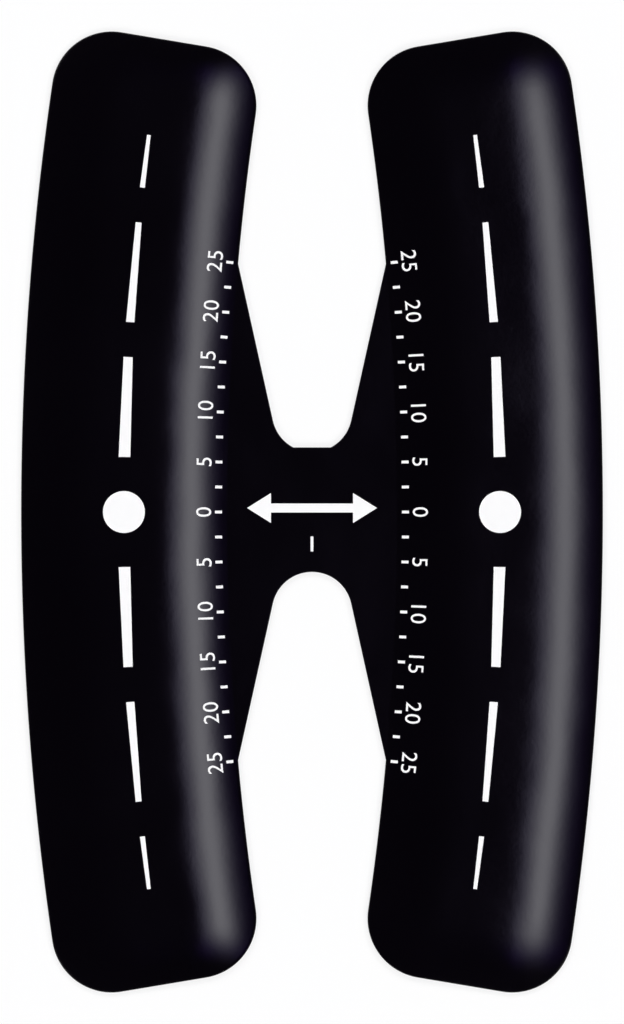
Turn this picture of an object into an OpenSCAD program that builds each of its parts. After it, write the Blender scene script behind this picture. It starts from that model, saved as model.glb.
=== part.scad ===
// Balance weight for a spoked bicycle wheel, lying flat as it leaves its packet. It is bonded to the
// rim opposite the valve: two curved pads, one for each side wall, and between them a thin web that
// folds over the rim's nose in the space between two spokes. The moulding is one piece of elastomer.
// Millimetres. Origin: middle of the flat back, with +Y along the rim and +Z out of the printed face.

/* [Rim] */
// Radius of the rim's nose about the wheel's axle, which the pads' inner edges follow
nose_r = 275.7; // [230:0.1:330]

/* [Pads] */
// Width of a pad, from its inner to its outer edge
pad_w = 20.6; // [18:0.1:26]
// Length of a pad along the arc midway between its edges
pad_len = 95; // [88:0.5:110]
// Width of the gap between the pads at the middle of their length, which the web bridges
pad_gap = 17; // [14:0.1:22]
// Radius of a pad's corners, and the width of the rounded shoulder all round it
corner_r = 6; // [4:0.1:7]
// Height of a pad's flat top above the web
pad_rise = 0.8; // [0.4:0.05:1.4]

/* [Web] */
// Thickness of the web, and of the pads at their outline
web_t = 0.6; // [0.4:0.05:1]
// Height of the web at its waist, between the round ends of the two notches
waist = 12; // [9:0.1:16]
// Radius of a notch's round end
notch_r = 4; // [3:0.1:5]
// Angle at which a notch's flanks spread
notch_flare = 12.5; // [9:0.5:15]
// How far the upper notch's round end is cut off flat
notch_flat = 0.46; // [0.1:0.02:1]

/* [Printed marks] */
// Thickness of the printed ink
ink_t = 0.05; // [0.04:0.01:0.1]
// Diameter of the dot at the middle of each pad
dot_d = 4.2; // [3:0.1:5]
// Distance from the dot's middle to the first dash, along the pad's middle arc
dash_start = 5.5; // [4:0.1:7]
// Length of a whole dash
dash_len = 10; // [7:0.1:11]
// Gap between two dashes
dash_gap = 3.5; // [2:0.1:5]
// Number of whole dashes on each side of a dot
dash_count = 2; // [1:1:2]
// Length of the short last dash
last_dash_len = 5.3; // [3:0.1:6]
// Width of the row of dashes where it would reach the dot's middle
dash_w = 1.3; // [0.8:0.05:2]
// Width of the row of dashes at its far end
dash_end_w = 0.37; // [0.2:0.01:0.7]
// Distance between two ticks of the scale
tick_pitch = 2.5; // [2:0.1:4]
// Number of ticks on each side of the scale's middle
tick_count = 10; // [4:1:12]
// Length of a tick
tick_len = 0.7; // [0.4:0.05:1]
// Width of a tick
tick_w = 0.28; // [0.2:0.01:0.5]
// Distance of the ticks from the pad's inner edge
tick_inset = 0.5; // [0.3:0.05:1.5]
// Length of the double arrow across the web
arrow_len = 13; // [9:0.1:14]
// Length of one of its heads
arrow_head_len = 2.4; // [1.5:0.1:3.5]
// Height of its heads
arrow_head_h = 3; // [2:0.1:4]
// Thickness of its shaft
arrow_shaft_h = 0.9; // [0.5:0.05:1.5]
// How far the arrow sits above the middle of the web
arrow_y = 0.4; // [0:0.1:1.2]
// Length of the tick under the arrow, where the web folds
fold_tick_len = 1.5; // [0.8:0.1:1.8]
// Distance from the arrow's middle down to the middle of that tick
fold_tick_drop = 3.6; // [3:0.1:4]

/* [Hidden] */
$fn = 256;

// A little more than nothing, where one solid has to pass a face of another.
over = 1;
// The web reaches this far into each pad, under its shoulder.
seat = 1;

// The pads' arcs, about the axle of the wheel.
outer_r = nose_r + pad_w;
mid_r = nose_r + pad_w / 2;
half_angle = pad_len / 2 / mid_r * 180 / PI;
axle_x = nose_r - pad_gap / 2;

// The shoulder is an arc that leaves the flat top level and falls to the web's height at the outline.
pad_top = web_t + pad_rise;
shoulder_r = (corner_r ^ 2 + pad_rise ^ 2) / (2 * pad_rise);

// The round end of a notch, and the point where its flank leaves the round.
notch_y = waist / 2 + notch_r;
flank_x = notch_r * cos(notch_flare);
flank_y = notch_y - notch_r * sin(notch_flare);

// The web's half width, and the height at which a flank has passed it.
web_half_w = pad_gap / 2 + seat;
web_end_y = flank_y + (web_half_w + over - flank_x) / tan(notch_flare);

// A point at a distance from the axle and at an angle from the pad's middle.
function polar(r, angle) = [r * cos(angle), r * sin(angle)];

// The angle that an arc of a given length spans about the axle.
function arc_angle(length, r) = length / r * 180 / PI;

// An angle moved by a hair, to where its cosine has six decimals and so stays exact in a written matrix.
function snapped(angle) = acos(round(cos(angle) * 1e6) / 1e6);

// Puts a pad, drawn about the axle, in its place, and again on the other side.
module both_pads() {
    for (side = [0, 1])
        mirror([side, 0, 0]) translate([-axle_x, 0, 0]) children();
}

// What is drawn at a pad's upper end, there and at its lower end.
module both_ends() {
    for (end = [0, 1])
        mirror([0, end, 0]) children();
}

// Section across a pad's shoulder. x runs outwards from the line where the flat top ends.
module shoulder_section() {
    intersection() {
        square([corner_r, pad_top]);
        translate([0, pad_top - shoulder_r]) circle(shoulder_r);
    }
}

// The centre of a corner of a pad's upper end: its distance from the axle, its distance along the end's
// line, and the angle between that line and the radius to it. side is 1 at the outer edge, -1 at the inner.
function centre_r(side) = side > 0 ? outer_r - corner_r : nose_r + corner_r;
function centre_x(side) = sqrt(centre_r(side) ^ 2 - corner_r ^ 2);
function lean(side) = snapped(asin(corner_r / centre_r(side)));

// Turns what is drawn at a corner's centre so that x points along the radius to it, away from the pad.
module to_radius(side) {
    rotate([0, 0, side > 0 ? -lean(side) : 180 - lean(side)]) children();
}

// Moves what is drawn about the axle to a corner's centre, along that radius.
module about_axle(side) {
    translate([centre_x(side), -corner_r, 0])
        to_radius(side) translate([-side * centre_r(side), 0, 0]) children();
}

// What meets at one corner of a pad's upper end: half of the end's shoulder, the round corner and half
// of the long edge's shoulder. Each starts in the plane through the corner's centre where the next one
// ends, and the corner itself is drawn from both of its planes.
module pad_corner(side) {
    half_end = pad_w / 2 - corner_r + over;
    sweep = ceil(half_angle) + 1;
    translate([centre_x(side), -corner_r, 0]) {
        translate([side > 0 ? -half_end : 0, 0, 0])
            rotate([90, 0, 90]) linear_extrude(half_end) shoulder_section();
        rotate_extrude(angle = 60, start = side > 0 ? 30 : 90) shoulder_section();
        to_radius(side)
            rotate_extrude(angle = 60, start = side > 0 ? 0 : -60) shoulder_section();
    }
    about_axle(side)
        rotate_extrude(angle = sweep, start = side > 0 ? -sweep : 180 - sweep)
            translate([centre_r(side), 0]) mirror([side > 0 ? 0 : 1, 0]) shoulder_section();
}

// The flat middle of a pad's upper half, inside its shoulders.
module pad_core() {
    linear_extrude(pad_top)
        difference() {
            intersection() {
                translate([0, -corner_r - pad_len]) square([2 * outer_r, pad_len]);
                about_axle(1) circle(centre_r(1));
            }
            about_axle(-1) circle(centre_r(-1));
        }
}

// A whole pad, drawn about the axle: its upper half is drawn from the line of its end, cut at the pad's
// middle and mirrored.
module pad() {
    both_ends() intersection() {
        rotate([0, 0, half_angle]) {
            pad_corner(1);
            pad_corner(-1);
            pad_core();
        }
        translate([0, 0, -over]) cube([2 * outer_r, pad_len, pad_top + 2 * over]);
    }
}

// One notch, open upwards: a round end with flanks that spread from it.
module notch_2d() {
    translate([0, notch_y]) circle(notch_r);
    polygon([
        [-flank_x, flank_y],
        [flank_x, flank_y],
        [web_half_w + over, web_end_y],
        [-web_half_w - over, web_end_y]
    ]);
}

// The web's outline. The upper notch's round end is cut off flat.
module web_2d() {
    difference() {
        square([2 * web_half_w, 2 * web_end_y - over], center = true);
        difference() {
            notch_2d();
            translate([-notch_r, 0]) square([2 * notch_r, waist / 2 + notch_flat]);
        }
        mirror([0, 1]) notch_2d();
    }
}

// The moulding: two domed pads and the web between them, in one piece.
module weight_body() {
    color("#111114") {
        both_pads() pad();
        linear_extrude(web_t) web_2d();
    }
}

// One dash of the tapering row, between two distances along the middle arc.
module dash(from, to) {
    row_end = dash_start + dash_count * (dash_len + dash_gap) + last_dash_len;
    function half_w(s) = (dash_w + (dash_end_w - dash_w) * s / row_end) / 2;
    polygon([
        polar(mid_r - half_w(from), arc_angle(from, mid_r)),
        polar(mid_r + half_w(from), arc_angle(from, mid_r)),
        polar(mid_r + half_w(to), arc_angle(to, mid_r)),
        polar(mid_r - half_w(to), arc_angle(to, mid_r))
    ]);
}

// The dot and its two rows of dashes, on a pad's flat top.
module dot_and_dashes() {
    last_start = dash_start + dash_count * (dash_len + dash_gap);
    translate([0, 0, pad_top]) linear_extrude(ink_t) {
        translate([mid_r, 0]) circle(d = dot_d);
        both_ends() {
            for (start = [dash_start : dash_len + dash_gap : last_start - dash_gap])
                dash(start, start + dash_len);
            dash(last_start, last_start + last_dash_len);
        }
    }
}

// Section of the ink of a tick, which lies on the inner shoulder.
module tick_section() {
    intersection() {
        translate([nose_r + tick_inset, 0]) square([tick_len, 2 * pad_top]);
        translate([nose_r + corner_r, pad_top - shoulder_r])
            difference() {
                translate([0, ink_t]) circle(shoulder_r);
                circle(shoulder_r);
            }
    }
}

// The scale of ticks beside a pad's inner edge.
module tick_scale() {
    tick_r = nose_r + tick_inset + tick_len / 2;
    for (i = [-tick_count : tick_count])
        rotate([0, 0, arc_angle(i * tick_pitch - tick_w / 2, tick_r)])
            rotate_extrude(angle = arc_angle(tick_w, tick_r)) tick_section();
}

// A double arrow across the web, towards the two side walls, and a tick on the line where it folds.
module web_marks() {
    neck = arrow_len / 2 - arrow_head_len;
    right = [
        [neck, -arrow_shaft_h / 2], [neck, -arrow_head_h / 2], [arrow_len / 2, 0],
        [neck, arrow_head_h / 2], [neck, arrow_shaft_h / 2]
    ];
    left = [for (p = right) -p];
    translate([0, arrow_y, web_t]) linear_extrude(ink_t) {
        polygon(concat(right, left));
        translate([0, -fold_tick_drop]) square([tick_w, fold_tick_len], center = true);
    }
}

// The white print, each mark a thin solid of its own on the face below it.
module printed_marks() {
    color("white") {
        both_pads() {
            dot_and_dashes();
            tick_scale();
        }
        web_marks();
    }
}

weight_body();
printed_marks();
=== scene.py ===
from math import asin, atan2, cos, e, erf, exp, hypot, pi, radians, sin, sqrt, tan

import bmesh
import bpy
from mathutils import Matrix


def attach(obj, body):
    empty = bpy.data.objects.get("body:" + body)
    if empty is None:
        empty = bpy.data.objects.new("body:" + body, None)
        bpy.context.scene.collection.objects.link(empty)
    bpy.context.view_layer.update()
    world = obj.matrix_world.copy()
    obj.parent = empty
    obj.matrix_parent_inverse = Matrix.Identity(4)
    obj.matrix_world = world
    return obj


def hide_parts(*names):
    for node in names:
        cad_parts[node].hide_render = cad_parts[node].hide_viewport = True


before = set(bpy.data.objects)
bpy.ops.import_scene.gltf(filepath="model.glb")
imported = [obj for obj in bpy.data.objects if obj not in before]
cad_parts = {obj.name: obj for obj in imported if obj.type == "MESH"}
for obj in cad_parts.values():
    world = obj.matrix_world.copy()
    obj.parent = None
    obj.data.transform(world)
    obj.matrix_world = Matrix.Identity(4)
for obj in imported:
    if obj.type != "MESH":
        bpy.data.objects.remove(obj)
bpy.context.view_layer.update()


# The moulding. One piece of soft black elastomer, pressed in a mould with a flat back: two curved pads
# with rounded shoulders, and the thin web between them that folds over the rim's nose.
nose_r = 0.2757
pad_w, pad_len, pad_gap = 0.0206, 0.095, 0.017
corner_r = 0.006
web_top, pad_top = 0.0006, 0.0014
waist, notch_r, notch_flare, notch_flat = 0.012, 0.004, radians(12.5), 0.00046
edge_rounding, back_rounding = 0.00006, 0.00005
ridge_softness, end_skew = 0.0014, 0.0018

outer_r = nose_r + pad_w
mid_r = nose_r + pad_w / 2
axle_x = pad_gap / 2 - nose_r
axle = (axle_x, 0, 0)
half_angle = pad_len / 2 / mid_r
notch_y = waist / 2 + notch_r
flat_y = waist / 2 + notch_flat

# The steps of each stretch of the pad's outline, from the section outwards, and of the notches' rounds.
section_steps, outer_steps, corner_steps, end_steps, inner_steps, join_steps = 16, 54, 24, 23, 20, 68
round_steps, flat_round_steps = 20, 13

# Points nearer than same_point are merged. The other two say how near counts as on a face or on an arc.
same_point, on_face, on_arc = 4e-6, 1e-6, 1e-5

# How much a face's normal points up or down: less than upright on a side wall, more than level on a top
# or a back, and more than dead_flat on the web's top.
upright, level, dead_flat = 0.1, 0.9, 0.9999


def at_radius(r, angle, z=0.0):
    """The point of the right pad at a distance and an angle about the wheel's axle."""
    return axle_x + r * cos(angle), r * sin(angle), z


def from_axle(point):
    """How far a point of the right pad lies from the wheel's axle, seen from above."""
    return hypot(point.x - axle_x, point.y)


def start_vertex(point):
    """Adds one vertex, which lines are then drawn from. It is a small square, merged at its middle."""
    bpy.ops.mesh.primitive_plane_add(size=0.001, location=point)
    if bpy.context.mode != "EDIT_MESH":
        bpy.ops.object.transform_apply(location=True, rotation=True, scale=True)
        bpy.ops.object.mode_set(mode="EDIT")
    bpy.ops.mesh.select_mode(type="VERT")
    bpy.ops.mesh.merge(type="CENTER")


def turn(centre, angle, steps):
    """Spins what is selected about an upright axis, anticlockwise seen from above."""
    bpy.ops.mesh.spin(steps=steps, angle=angle, center=centre, axis=(0, 0, -1))


def run_on(length, angle, steps):
    """Carries what is selected on in a straight line, at an angle from x."""
    step = length / steps
    bpy.ops.mesh.extrude_repeat(steps=steps, offset=(step * cos(angle), step * sin(angle), 0))


def draw_to(point):
    """Draws a straight edge from the selected vertex."""
    here = next(v for v in bmesh.from_edit_mesh(bpy.context.edit_object.data).verts if v.select).co
    step = [there - now for there, now in zip(point, here)]
    bpy.ops.mesh.extrude_vertices_move(TRANSFORM_OT_translate={"value": step})


def pick(kind, wanted):
    """Selects the vertices, edges or faces that are wanted, and nothing else."""
    bpy.ops.mesh.select_mode(type=kind)
    bpy.ops.mesh.select_all(action="DESELECT")
    mesh = bmesh.from_edit_mesh(bpy.context.edit_object.data)
    for part in {"VERT": mesh.verts, "EDGE": mesh.edges, "FACE": mesh.faces}[kind]:
        if wanted(part):
            part.select_set(True)
    bmesh.update_edit_mesh(bpy.context.edit_object.data)


def merge_doubles():
    """Merges the points that lie on one another, over the whole mesh."""
    bpy.ops.mesh.select_all(action="SELECT")
    bpy.ops.mesh.remove_doubles(threshold=same_point)


# Seen from the axle, the centre of a corner lies at a small angle from the pad's end, its lean. Between
# the two corners the end runs straight, for end_length.
outer_lean = asin(corner_r / (outer_r - corner_r))
inner_lean = asin(corner_r / (nose_r + corner_r))
end_length = (outer_r - corner_r) * cos(outer_lean) - (nose_r + corner_r) * cos(inner_lean)
shoulder_r = (corner_r ** 2 + (pad_top - web_top) ** 2) / (2 * (pad_top - web_top))

# Where a notch's flank leaves its round, and where it meets the pad's inner edge. The edge is curved, so
# that place is found by going to and fro between the flank and the edge.
flank_x, flank_y = notch_r * cos(notch_flare), notch_y - notch_r * sin(notch_flare)
flank_width = 0.0
for _ in range(20):
    join_angle = asin((flank_y + flank_width / tan(notch_flare)) / nose_r)
    flank_width = at_radius(nose_r, join_angle)[0] - flank_x

# Half of a section through the right pad, from the edge of its flat top over the shoulder and down the
# side, is turned all the way round the pad.
bpy.ops.object.select_all(action="DESELECT")
start_vertex(at_radius(outer_r - corner_r, 0, pad_top))
moulding = bpy.context.object
moulding.name = moulding.data.name = "moulding"
bpy.ops.mesh.spin(steps=section_steps, angle=asin(corner_r / shoulder_r), axis=(0, -1, 0),
                  center=at_radius(outer_r - corner_r, 0, pad_top - shoulder_r))
draw_to(at_radius(outer_r, 0))
bpy.ops.mesh.select_all(action="SELECT")
turn(axle, half_angle - outer_lean, outer_steps)
turn(at_radius(outer_r - corner_r, half_angle - outer_lean), pi / 2 + outer_lean, corner_steps)
run_on(-end_length, half_angle, end_steps)
turn(at_radius(nose_r + corner_r, half_angle - inner_lean), pi / 2 - inner_lean, corner_steps)
turn(axle, join_angle + inner_lean - half_angle, inner_steps)
turn(axle, -2 * join_angle, join_steps)
turn(axle, join_angle + inner_lean - half_angle, inner_steps)
turn(at_radius(nose_r + corner_r, inner_lean - half_angle), pi / 2 - inner_lean, corner_steps)
run_on(end_length, -half_angle, end_steps)
turn(at_radius(outer_r - corner_r, outer_lean - half_angle), pi / 2 + outer_lean, corner_steps)
turn(axle, half_angle - outer_lean, outer_steps)
merge_doubles()


def ends_flat_top(edge):
    """Tells whether an edge lies where the flat top ends along one of the pad's two long sides."""
    return all(v.co.z > pad_top - on_face for v in edge.verts) and any(
        all(abs(from_axle(v.co) - r) < on_arc for v in edge.verts)
        for r in (outer_r - corner_r, nose_r + corner_r))


# The flat top is laid between the two long edges of the shoulder.
pick("EDGE", ends_flat_top)
bpy.ops.mesh.bridge_edge_loops(type="SINGLE", number_cuts=end_steps - 1, interpolation="LINEAR")
merge_doubles()

# The flat top rolls over into the shoulder with no line between them, so each point of the top takes the
# height of a softened section there. The flat top's ends run a little more squarely across than the
# pad's: end_skew is how far they are turned over the pad's width, and at the outer corners the turn dies
# out towards the outline.
fall = (pad_top - web_top) / (corner_r ** 2 + ridge_softness ** 2)


def softened(outside):
    """The square of a distance outside the flat top, softened round the ridge where it starts."""
    share = (1 + erf(outside / ridge_softness / sqrt(2))) / 2
    bell = exp(-(outside / ridge_softness) ** 2 / 2) / sqrt(2 * pi)
    return (outside ** 2 + ridge_softness ** 2) * share + outside * ridge_softness * bell


def top_height(point):
    """The height of the pad's top at a point seen from above."""
    r, angle = from_axle(point), atan2(abs(point.y), point.x - axle_x)
    width_share = (r - nose_r) / pad_w
    skew = end_skew * (width_share - 0.5)
    past_end = r * sin(angle - half_angle) + corner_r + skew
    shoulder_share = max(past_end, 0) / (corner_r + skew)
    past_end -= skew * width_share ** 2 * shoulder_share ** 3
    sides = (r - outer_r + corner_r, nose_r + corner_r - r, past_end)
    return pad_top - fall * sum(softened(side) for side in sides)


for vertex in bmesh.from_edit_mesh(moulding.data).verts:
    if vertex.co.z > web_top - on_face:
        vertex.co.z = top_height(vertex.co)
bmesh.update_edit_mesh(moulding.data)

# The back is closed.
pick("EDGE", lambda edge: all(v.co.z < on_face for v in edge.verts))
bpy.ops.mesh.edge_face_add()

# Half of the web: down the pad's inner edge, round the lower notch, up the middle and round the upper
# one, whose round end is cut off flat.
flat_x = sqrt(notch_r ** 2 - (notch_y - flat_y) ** 2)
start_vertex(at_radius(nose_r, join_angle, web_top))
turn(axle, -2 * join_angle, join_steps)
draw_to((flank_x, -flank_y, web_top))
turn((0, -notch_y, 0), pi / 2 - notch_flare, round_steps)
draw_to((0, flat_y, web_top))
draw_to((flat_x, flat_y, web_top))
turn((0, notch_y, 0), atan2(notch_y - flat_y, flat_x) - notch_flare, flat_round_steps)
draw_to(at_radius(nose_r, join_angle, web_top))
pick("VERT", lambda vertex: vertex.is_wire)
bpy.ops.mesh.remove_doubles(threshold=same_point)
bpy.ops.mesh.edge_face_add()
bpy.ops.mesh.extrude_region_move(TRANSFORM_OT_translate={"value": (0, 0, -web_top)})


def is_upright(face):
    """Tells whether a face belongs to a side wall."""
    return abs(face.normal.z) < upright


def is_inside(face):
    """Tells whether a wall is where the pad and the web, or the two halves of the web, grow into one."""
    join_y = nose_r * sin(join_angle)
    at_middle = all(v.co.x < on_face for v in face.verts)
    at_join = all(abs(from_axle(v.co) - nose_r) < on_arc and abs(v.co.y) < join_y + on_arc
                  for v in face.verts)
    return is_upright(face) and (at_middle or at_join)


# The walls inside the moulding are taken out.
pick("FACE", is_inside)
bpy.ops.mesh.delete(type="FACE")
merge_doubles()

# The other half is its mirror image.
bpy.ops.object.mode_set(mode="OBJECT")
mirror = moulding.modifiers.new("other half", "MIRROR")
mirror.merge_threshold = same_point
bpy.ops.object.modifier_apply(modifier=mirror.name)
bpy.ops.object.mode_set(mode="EDIT")
bpy.ops.mesh.select_all(action="SELECT")
bpy.ops.mesh.normals_make_consistent(inside=False)


def is_rim(edge, low, high):
    """Tells whether an edge between two heights parts a side wall from a top or a back."""
    return (any(is_upright(face) for face in edge.link_faces)
            and any(abs(face.normal.z) > level for face in edge.link_faces)
            and all(low < v.co.z < high for v in edge.verts))


def is_web_top(face):
    """Tells whether a face is the web's flat top, whose corners may lie on a rounding that it meets."""
    return face.normal.z > dead_flat and all(abs(v.co.z - web_top) < edge_rounding for v in face.verts)


# Every outer edge is rounded a little, as a mould leaves it.
pick("EDGE", lambda edge: is_rim(edge, web_top / 2, pad_top))
bpy.ops.mesh.bevel(offset=edge_rounding, segments=8, affect="EDGES")
pick("EDGE", lambda edge: is_rim(edge, -on_face, on_face))
bpy.ops.mesh.bevel(offset=back_rounding, segments=2, affect="EDGES")

# The web's top is dead flat, so it is shaded apart from the roundings and shoulders that it meets.
pick("FACE", is_web_top)
bpy.ops.mesh.region_to_loop()
bpy.ops.mesh.mark_sharp()
bpy.ops.object.mode_set(mode="OBJECT")
bpy.ops.object.shade_smooth_by_angle(angle=radians(13))
even = moulding.modifiers.new("even shading", "WEIGHTED_NORMAL")
even.keep_sharp = True
bpy.ops.object.modifier_apply(modifier=even.name)
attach(moulding, "root")
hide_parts("weight_body")


class Wire:
    """A socket of a material, which can be reckoned with and compared as a number can."""

    def __init__(self, finish, socket):
        self.finish, self.socket = finish, socket

    def math(self, operation, *values):
        """Adds a Math node that works on values and wires, and gives its result."""
        return self.finish.node("ShaderNodeMath", {"operation": operation}, dict(enumerate(values)))

    def __add__(self, other):
        return self.math("ADD", self, other)

    def __radd__(self, other):
        return self.math("ADD", other, self)

    def __sub__(self, other):
        return self.math("SUBTRACT", self, other)

    def __rsub__(self, other):
        return self.math("SUBTRACT", other, self)

    def __mul__(self, other):
        return self.math("MULTIPLY", self, other)

    def __rmul__(self, other):
        return self.math("MULTIPLY", other, self)

    def __truediv__(self, other):
        return self.math("DIVIDE", self, other)

    def __rtruediv__(self, other):
        return self.math("DIVIDE", other, self)

    def __pow__(self, other):
        return self.math("POWER", self, other)

    def __rpow__(self, other):
        return self.math("POWER", other, self)

    def __gt__(self, other):
        return self.math("GREATER_THAN", self, other)

    def __lt__(self, other):
        return self.math("LESS_THAN", self, other)

    def __neg__(self):
        return self.math("MULTIPLY", self, -1)

    def __abs__(self):
        return self.math("ABSOLUTE", self)


class Finish:
    """A tree of shader nodes, built node by node."""

    def __init__(self, owner):
        owner.use_nodes = True
        self.owner, self.tree = owner, owner.node_tree
        self.tree.nodes.clear()

    def node(self, kind, settings=None, sockets=None, out=0):
        """Adds a node: its type, then its settings, then the values or wires of its sockets."""
        node = self.tree.nodes.new(kind)
        for name, value in (settings or {}).items():
            setattr(node, name, value)
        for key, value in (sockets or {}).items():
            if isinstance(value, Wire):
                self.tree.links.new(value.socket, node.inputs[key])
            else:
                node.inputs[key].default_value = value
        return Wire(self, node.outputs[out]) if node.outputs else None

    def fade(self, value, start, stop):
        """Falls smoothly from 1 at start to 0 at stop."""
        return self.node("ShaderNodeMapRange", {"interpolation_type": "SMOOTHSTEP"}, {
            "Value": value, "From Min": start, "From Max": stop, "To Min": 1.0, "To Max": 0.0})

    def noise(self, place, size, detail=2.0, roughness=0.5):
        """Noise from 0 to 1 whose patches are about as wide as size, in metres."""
        return self.node("ShaderNodeTexNoise", sockets={
            "Vector": place, "Scale": 0.5 / size, "Detail": detail, "Roughness": roughness})

    def blend(self, share, first, second):
        """Mixes two colours. They are sockets 6 and 7 of a Mix node, and its third output."""
        return self.node("ShaderNodeMix", {"data_type": "RGBA"}, {0: share, 6: first, 7: second}, out=2)

    def bump(self, height, depth, under=None):
        """Relief on the surface. Height runs from 0 to 1, and depth is its real depth in metres."""
        sockets = {"Height": height, "Distance": depth}
        if under:
            sockets["Normal"] = under
        return self.node("ShaderNodeBump", sockets=sockets)


# The elastomer is glossy where it lay against the polished mould, with a slight waviness, a faint orange
# peel and fine pores, and it is duller on its flat back.
rubber = Finish(bpy.data.materials.new("black elastomer"))
blackest, less_black = (0.0007, 0.0003, 0.0012, 1), (0.0020, 0.0013, 0.0029, 1)
place = rubber.node("ShaderNodeTexCoord", out="Object")
height = rubber.node("ShaderNodeSeparateXYZ", sockets={0: place}, out="Z")
back = rubber.fade(height, back_rounding * 0.8, back_rounding * 2)
clouds = rubber.noise(place, size=0.009, detail=3.0)
waves = rubber.noise(place, size=0.004, detail=1.0)
peel = rubber.noise(place, size=0.0016)
grain = rubber.noise(place, size=0.00022, detail=3.0, roughness=0.6)
relief = rubber.bump(waves, depth=0.000045)
relief = rubber.bump(peel, depth=0.000006, under=relief)
relief = rubber.bump(grain, depth=0.000002, under=relief)
surface = rubber.node("ShaderNodeBsdfPrincipled", sockets={
    "Base Color": rubber.blend(clouds * 0.6 + grain * 0.4, blackest, less_black),
    "Roughness": 0.06 + clouds * 0.03 + grain * 0.02 + back * 0.3,
    "Normal": relief})
rubber.node("ShaderNodeOutputMaterial", sockets={"Surface": surface})
moulding.data.materials.clear()
moulding.data.materials.append(rubber.owner)


# The print: dots, dashes, ticks, an arrow and the tick on the fold line. It is white ink, screen-printed
# on the finished moulding, where it stands a little proud and keeps a trace of the screen's weave.
ink = Finish(bpy.data.materials.new("white ink"))
thin_white, full_white = (0.945, 0.945, 0.94, 1), (0.98, 0.98, 0.975, 1)
place = ink.node("ShaderNodeTexCoord", out="Object")
mottle = ink.noise(place, size=0.0006, detail=3.0)
weave = ink.noise(place, size=0.00012)
surface = ink.node("ShaderNodeBsdfPrincipled", sockets={
    "Base Color": ink.blend(mottle, thin_white, full_white),
    "Roughness": 0.5 + mottle * 0.1,
    "Normal": ink.bump(weave, depth=0.000003)})
ink.node("ShaderNodeOutputMaterial", sockets={"Surface": surface})
print_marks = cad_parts["printed_marks"]
for slot in print_marks.material_slots:
    slot.material = ink.owner


# The scale's numbers, in millimetres from the middle of the pad, printed with the rest. They stand on
# the inner shoulder of each pad with their feet towards the inner edge.
tick_inset, tick_len = 0.0005, 0.0007
number_pitch, number_count = 0.005, 5
number_height, number_feet, ink_t = 0.0015, 0.0016, 0.00005
figure_share = 0.69  # the share of the text's size that a figure's height takes up
clear_of_top = pad_top + 0.0006  # where the text is set, before it is laid down on the shoulder
numbers = []
for side in (1, -1):
    for i in range(-number_count, number_count + 1):
        angle = i * number_pitch / (nose_r + tick_inset + tick_len / 2)
        x, y, z = at_radius(nose_r + number_feet, angle, clear_of_top)
        bpy.ops.object.text_add(location=(side * x, y, z), rotation=(0, 0, side * (angle - pi / 2)))
        number = bpy.context.object
        number.data.body = str(round(number_pitch * 1000) * abs(i))
        number.data.align_x = "CENTER"
        number.data.size = number_height / figure_share
        number.data.space_character = 1.1
        number.data.resolution_u = 8
        bpy.ops.object.convert(target="MESH")
        bpy.ops.object.transform_apply(location=True, rotation=True, scale=True)
        numbers.append(bpy.context.object)
bpy.ops.object.select_all(action="DESELECT")
for number in numbers:
    number.select_set(True)
bpy.context.view_layer.objects.active = numbers[0]
bpy.ops.object.join()
scale_numbers = bpy.context.object
scale_numbers.name = scale_numbers.data.name = "scale_numbers"
bpy.ops.object.mode_set(mode="EDIT")
bpy.ops.mesh.select_all(action="SELECT")
bpy.ops.mesh.remove_doubles(threshold=1e-6)
bpy.ops.object.mode_set(mode="OBJECT")
lay = scale_numbers.modifiers.new("on the shoulder", "SHRINKWRAP")
lay.target, lay.wrap_method, lay.use_project_z = moulding, "PROJECT", True
lay.use_negative_direction, lay.use_positive_direction = True, False
bpy.ops.object.modifier_apply(modifier=lay.name)
film = scale_numbers.modifiers.new("ink", "SOLIDIFY")
film.thickness, film.offset = ink_t, 1
bpy.ops.object.modifier_apply(modifier=film.name)
scale_numbers.data.materials.clear()
scale_numbers.data.materials.append(ink.owner)
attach(scale_numbers, "root")


# A plain white table, a hair under the part. Light falls on it as on white paint, and for the camera and
# in reflections it is lifted to a full white, less so near the part, so that the shadow stays.
table_radius, table_depth = 8, 0.00003
near, far, shadow_share = 0.1, 0.5, 0.25
bpy.ops.mesh.primitive_circle_add(vertices=128, radius=table_radius, fill_type="NGON",
                                  location=(0, 0, -table_depth))
table = bpy.context.object
table.name = "table"
bpy.ops.object.transform_apply(location=True, rotation=True, scale=True)
paint = Finish(bpy.data.materials.new("table white"))
place = paint.node("ShaderNodeTexCoord", out="Object")
distance = paint.node("ShaderNodeVectorMath", {"operation": "LENGTH"}, {0: place}, out="Value")
seen, mirrored, through = (paint.node("ShaderNodeLightPath", out=ray) for ray in (
    "Is Camera Ray", "Is Glossy Ray", "Is Transmission Ray"))
lift = (seen + mirrored + through) * (1 - shadow_share * paint.fade(distance, near, far))
lit = paint.node("ShaderNodeBsdfDiffuse", sockets={"Color": (0.96, 0.96, 0.96, 1)})
glow = paint.node("ShaderNodeEmission", sockets={"Color": (1, 1, 1, 1), "Strength": 1.0})
surface = paint.node("ShaderNodeMixShader", sockets={0: lift, 1: lit, 2: glow})
paint.node("ShaderNodeOutputMaterial", sockets={"Surface": surface})
table.data.materials.append(paint.owner)


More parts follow.
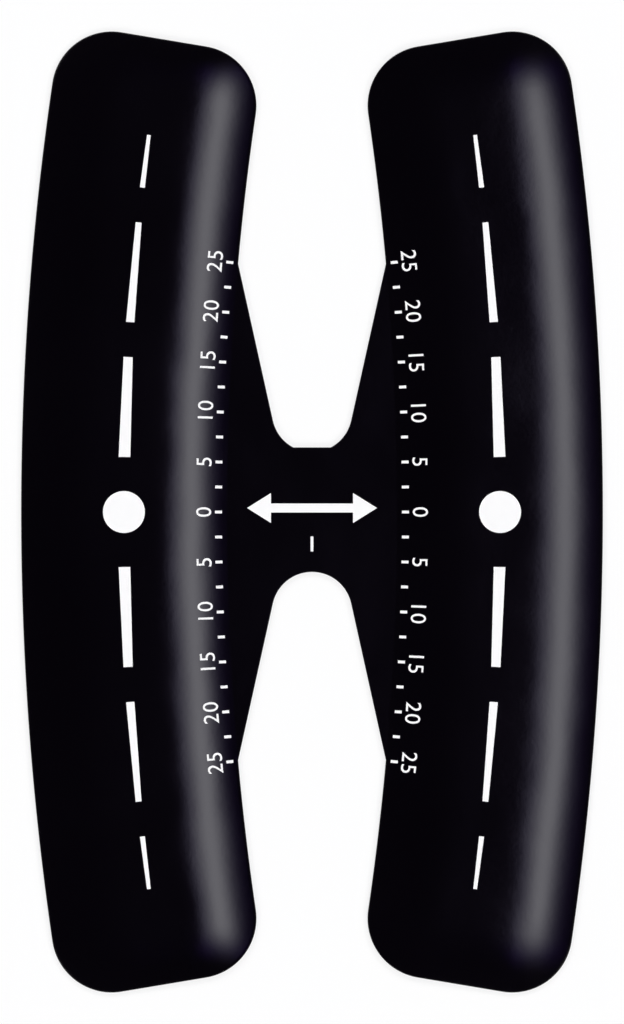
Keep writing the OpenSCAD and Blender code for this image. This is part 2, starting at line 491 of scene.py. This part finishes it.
# The room: white along the horizon and dark above, but for a broad ring of soft light half way up and
# one long soft light high up on the right. That light lays the pale band along each pad, and a dim
# violet fringe round it colours the band's edges.
white, violet = (1, 1, 1, 1), (0.17, 0, 1, 1)
ring_strength, strip_strength, fringe_strength = 4.5, 3.12, 0.31
ring_foot, ring_crest, ring_head = 38, 48, 56  # degrees above the horizon
strip_lean, strip_half_width, strip_half_length = 11.5, 6.05, 11.2  # degrees, as seen from the part
world = bpy.data.worlds.new("room")
bpy.context.scene.world = world
room = Finish(world)
direction = room.node("ShaderNodeTexCoord", out="Generated")
x, y, z = (room.node("ShaderNodeSeparateXYZ", sockets={0: direction}, out=axis) for axis in "XYZ")


def sine(degrees):
    """A direction's share along an axis, from how many degrees it leans towards that axis."""
    return sin(radians(degrees))


# The strip is brightest in its middle. It fades smoothly to both sides, a little more suddenly at its
# ends, and to nothing on the left before it is straight overhead. Its fringe lies further out.
overhead = z > 0
walls = 0.005 + 0.07 * room.fade(z, 0.3, 0.8) + 0.92 * room.fade(z, 0.05, 0.2)
ring = 1 - room.fade(z, sine(ring_foot), sine(ring_crest))
ring = ring * room.fade(z, sine(ring_crest), sine(ring_head))
across_strip = (x - sine(strip_lean)) / sine(strip_half_width)
along_strip = (abs(y) / sine(strip_half_length)) ** 2.5
strip = e ** -(across_strip * across_strip + along_strip)
strip = strip * (1 - room.fade(x, sine(1), sine(4.6))) * overhead
fringe = (1 - room.fade(x, sine(1), sine(5))) * room.fade(x, sine(14), sine(31))
fringe = fringe * room.fade(abs(y), sine(12), sine(22)) * overhead
light = room.node("ShaderNodeBackground", sockets={
    "Color": white, "Strength": walls + ring_strength * ring + strip_strength * strip})
glimmer = room.node("ShaderNodeBackground", sockets={
    "Color": violet, "Strength": fringe_strength * fringe})
surface = room.node("ShaderNodeAddShader", sockets={0: light, 1: glimmer})
room.node("ShaderNodeOutputWorld", sockets={"Surface": surface})

# Four small soft boxes stand around the table, in the ring, and face the part, to light its print evenly
# from all sides.
box_away, box_climb, box_size, box_watts = 1.5, radians(42), 0.6, 1.8
for i, azimuth in enumerate((67.5, 112.5, 247.5, 292.5)):
    bearing = radians(azimuth)
    reach = box_away * cos(box_climb)
    bpy.ops.object.light_add(
        type="AREA", rotation=(pi / 2 - box_climb, 0, bearing + pi / 2),
        location=(reach * cos(bearing), reach * sin(bearing), box_away * sin(box_climb)))
    box = bpy.context.object
    box.name = f"soft box {i + 1}"
    box.data.shape, box.data.size = "DISK", box_size
    box.data.energy = box_watts
    box.visible_camera = False

# The camera looks straight down through a long lens, and the picture's height spans picture_height at
# the middle of the part's thickness.
lens, sensor, picture_height = 600, 36, 0.1024
bpy.ops.object.camera_add(location=(0, 0, pad_top / 2 + picture_height * lens / sensor),
                          rotation=(0, 0, 0))
camera = bpy.context.object
camera.data.lens, camera.data.sensor_width = lens, sensor
camera.data.clip_end = 20
bpy.context.scene.camera = camera
bpy.context.scene.view_settings.view_transform = "Standard"
